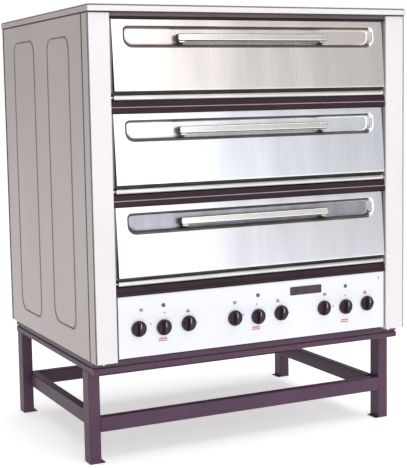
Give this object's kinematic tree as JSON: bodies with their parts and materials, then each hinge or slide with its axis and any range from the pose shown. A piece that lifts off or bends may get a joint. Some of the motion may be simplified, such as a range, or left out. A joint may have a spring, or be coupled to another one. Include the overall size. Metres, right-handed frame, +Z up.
{
  "type": "deck oven",
  "caption": "Deck oven: wide baking chambers stacked in a sheet cabinet on an open tube stand, drop-down stainless doors with recessed bar handles, control panel with rotary knobs.",
  "frame": {"origin": "on the floor, under the middle of the oven's bounding box", "axes": "+Z up, -Y out of the doors, +X to the right of a person facing the doors"},
  "size_m": [1.3, 1.0096, 1.625],
  "materials": {
    "stainless": "brushed, fine vertical grain",
    "polished_steel": "polished",
    "white_enamel": "smooth baked enamel, slightly warm",
    "taupe_enamel": "satin baked enamel",
    "purple_enamel": "semi-gloss dark aubergine paint",
    "chamber_steel": "dull stainless, straw tinted by heat",
    "hearth_steel": "dark seasoned plate",
    "element_sheath": "dark oxidised sheath",
    "mineral_wool": "matted mineral fibre",
    "knob_plastic": "dark aubergine phenolic, semi-gloss",
    "zinc": "zinc plated",
    "black_nylon": "moulded",
    "lamp_lens": "unlit smoked lens",
    "door_gasket": "braided glass fibre rope",
    "panel_print": "screen print"
  },
  "bodies": {
    "cabinet": {"top_cover": "white_enamel", "left_front_pillar": "white_enamel", "right_front_pillar": "white_enamel", "control_panel": "white_enamel", "left_side_panel": "taupe_enamel", "right_side_panel": "taupe_enamel", "rear_panel": "taupe_enamel", "header_rail": "purple_enamel", "upper_deck_rail": "purple_enamel", "middle_deck_rail": "purple_enamel", "lower_deck_rail": "purple_enamel", "base_pan": "purple_enamel", "stand_front_rail": "purple_enamel", "stand_rear_rail": "purple_enamel", "stand_left_rail": "purple_enamel", "stand_right_rail": "purple_enamel", "front_left_leg": "purple_enamel", "front_right_leg": "purple_enamel", "rear_left_leg": "purple_enamel", "rear_right_leg": "purple_enamel", "front_stretcher": "purple_enamel", "rear_stretcher": "purple_enamel", "left_stretcher": "purple_enamel", "right_stretcher": "purple_enamel", "cable_gland": "black_nylon", "switch_bracket": "zinc", "insulation_jacket": "mineral_wool", "upper_baking_chamber": "chamber_steel", "upper_hearth_plate": "hearth_steel", "upper_top_element": "element_sheath", "upper_bottom_element": "element_sheath", "middle_baking_chamber": "chamber_steel", "middle_hearth_plate": "hearth_steel", "middle_top_element": "element_sheath", "middle_bottom_element": "element_sheath", "lower_baking_chamber": "chamber_steel", "lower_hearth_plate": "hearth_steel", "lower_top_element": "element_sheath", "lower_bottom_element": "element_sheath"},
    "upper_door": {"upper_door_skin": "stainless", "upper_door_liner": "stainless", "upper_door_handle": "polished_steel", "upper_door_hinge_rod": "zinc"},
    "middle_door": {"middle_door_skin": "stainless", "middle_door_liner": "stainless", "middle_door_handle": "polished_steel", "middle_door_hinge_rod": "zinc"},
    "lower_door": {"lower_door_skin": "stainless", "lower_door_liner": "stainless", "lower_door_handle": "polished_steel", "lower_door_hinge_rod": "zinc"},
    "upper_top_heat_knob": {"upper_top_heat_knob": "knob_plastic"},
    "upper_switch_knob": {"upper_switch_knob": "knob_plastic"},
    "upper_bottom_heat_knob": {"upper_bottom_heat_knob": "knob_plastic"},
    "middle_top_heat_knob": {"middle_top_heat_knob": "knob_plastic"},
    "middle_switch_knob": {"middle_switch_knob": "knob_plastic"},
    "middle_bottom_heat_knob": {"middle_bottom_heat_knob": "knob_plastic"},
    "lower_top_heat_knob": {"lower_top_heat_knob": "knob_plastic"},
    "lower_switch_knob": {"lower_switch_knob": "knob_plastic"},
    "lower_bottom_heat_knob": {"lower_bottom_heat_knob": "knob_plastic"}
  },
  "joints": [
    {"name": "upper_door_hinge", "type": "hinge", "parent": "cabinet", "child": "upper_door", "pos_m": [0, -0.4757, 1.308], "axis": [1, 0, 0], "range_deg": [0, 90]},
    {"name": "middle_door_hinge", "type": "hinge", "parent": "cabinet", "child": "middle_door", "pos_m": [0, -0.4757, 0.984], "axis": [1, 0, 0], "range_deg": [0, 90]},
    {"name": "lower_door_hinge", "type": "hinge", "parent": "cabinet", "child": "lower_door", "pos_m": [0, -0.4757, 0.66], "axis": [1, 0, 0], "range_deg": [0, 90]},
    {"name": "upper_top_heat_turn", "type": "hinge", "parent": "cabinet", "child": "upper_top_heat_knob", "pos_m": [-0.4823, -0.4795, 0.4955], "axis": [0, 1, 0], "range_deg": [0, 270]},
    {"name": "upper_switch_turn", "type": "hinge", "parent": "cabinet", "child": "upper_switch_knob", "pos_m": [-0.3845, -0.4795, 0.4915], "axis": [0, 1, 0], "range_deg": [0, 180]},
    {"name": "upper_bottom_heat_turn", "type": "hinge", "parent": "cabinet", "child": "upper_bottom_heat_knob", "pos_m": [-0.2867, -0.4795, 0.4955], "axis": [0, 1, 0], "range_deg": [0, 270]},
    {"name": "middle_top_heat_turn", "type": "hinge", "parent": "cabinet", "child": "middle_top_heat_knob", "pos_m": [-0.0978, -0.4795, 0.4955], "axis": [0, 1, 0], "range_deg": [0, 270]},
    {"name": "middle_switch_turn", "type": "hinge", "parent": "cabinet", "child": "middle_switch_knob", "pos_m": [0, -0.4795, 0.4915], "axis": [0, 1, 0], "range_deg": [0, 180]},
    {"name": "middle_bottom_heat_turn", "type": "hinge", "parent": "cabinet", "child": "middle_bottom_heat_knob", "pos_m": [0.0978, -0.4795, 0.4955], "axis": [0, 1, 0], "range_deg": [0, 270]},
    {"name": "lower_top_heat_turn", "type": "hinge", "parent": "cabinet", "child": "lower_top_heat_knob", "pos_m": [0.2867, -0.4795, 0.4955], "axis": [0, 1, 0], "range_deg": [0, 270]},
    {"name": "lower_switch_turn", "type": "hinge", "parent": "cabinet", "child": "lower_switch_knob", "pos_m": [0.3845, -0.4795, 0.4915], "axis": [0, 1, 0], "range_deg": [0, 180]},
    {"name": "lower_bottom_heat_turn", "type": "hinge", "parent": "cabinet", "child": "lower_bottom_heat_knob", "pos_m": [0.4823, -0.4795, 0.4955], "axis": [0, 1, 0], "range_deg": [0, 270]}
  ]
}
